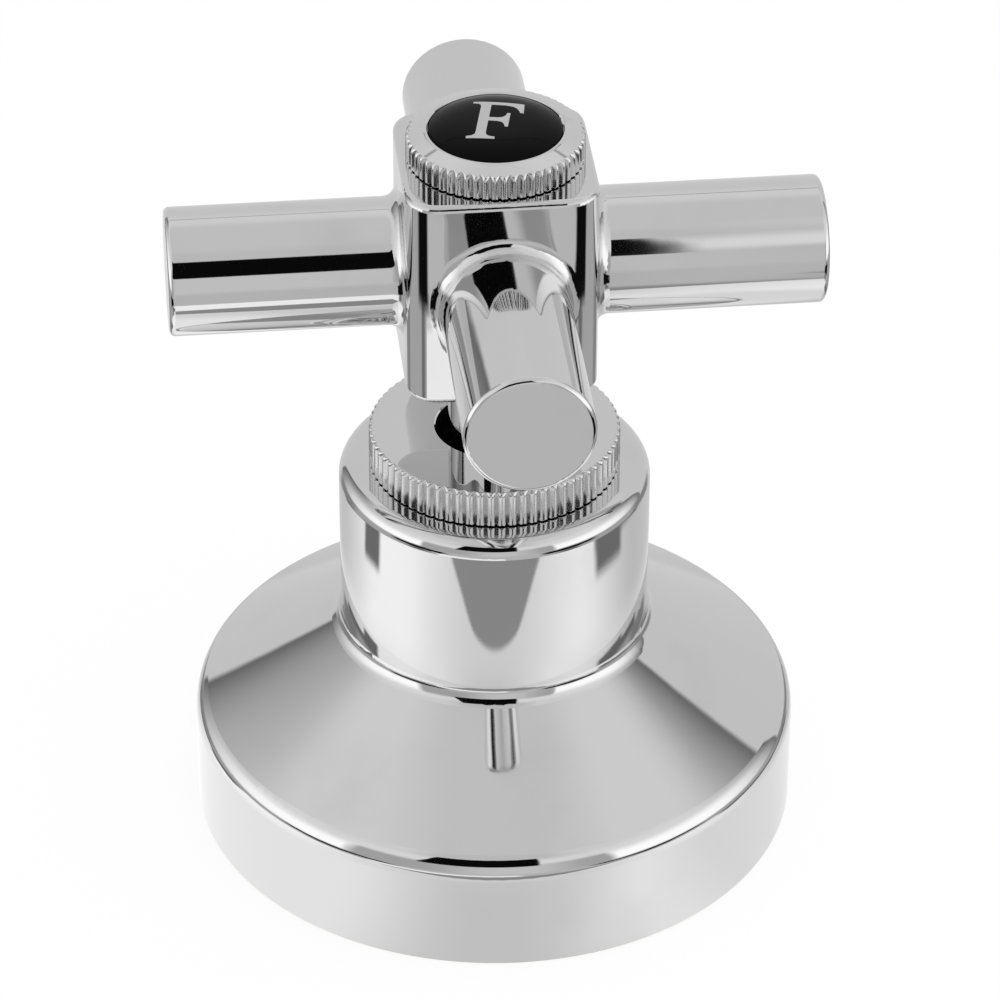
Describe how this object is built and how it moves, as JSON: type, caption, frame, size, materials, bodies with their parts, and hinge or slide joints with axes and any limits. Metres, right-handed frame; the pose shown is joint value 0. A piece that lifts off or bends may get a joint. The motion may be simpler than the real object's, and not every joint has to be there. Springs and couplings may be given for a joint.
{
  "type": "tap handle",
  "caption": "Chrome cross tap handle with a knurled index ring and a black lettered disc, on a stem that turns in a knurled lock nut above a conical wall escutcheon.",
  "frame": {"origin": "centre of the escutcheon's wall face", "axes": "+Z runs out from the wall along the spindle axis; the four arms lie along +X, -X, +Y and -Y at rest, and the picture looks from -Y, 6 degrees towards -X"},
  "size_m": [0.0678, 0.0678, 0.0838],
  "materials": {
    "chrome_shell": "polished chrome plate on a brass shell",
    "chrome_turned": "polished chrome plate on turned brass",
    "chrome_cast": "polished chrome plate on a casting",
    "steel": "plain turned steel",
    "black_gloss": "glossy black, domed"
  },
  "bodies": {
    "trim_base": {"escutcheon": "chrome_shell", "lock_nut": "chrome_turned"},
    "handle": {"cross_handle": "chrome_cast", "spindle_adaptor": "chrome_turned", "screw_washer": "steel", "handle_screw": "steel", "index_ring": "chrome_turned", "index_disc": "black_gloss"}
  },
  "joints": [
    {"name": "handle_turn", "type": "hinge", "parent": "trim_base", "child": "handle", "pos_m": [0, 0, 0.0426], "axis": [0, 0, 1], "continuous": true}
  ]
}
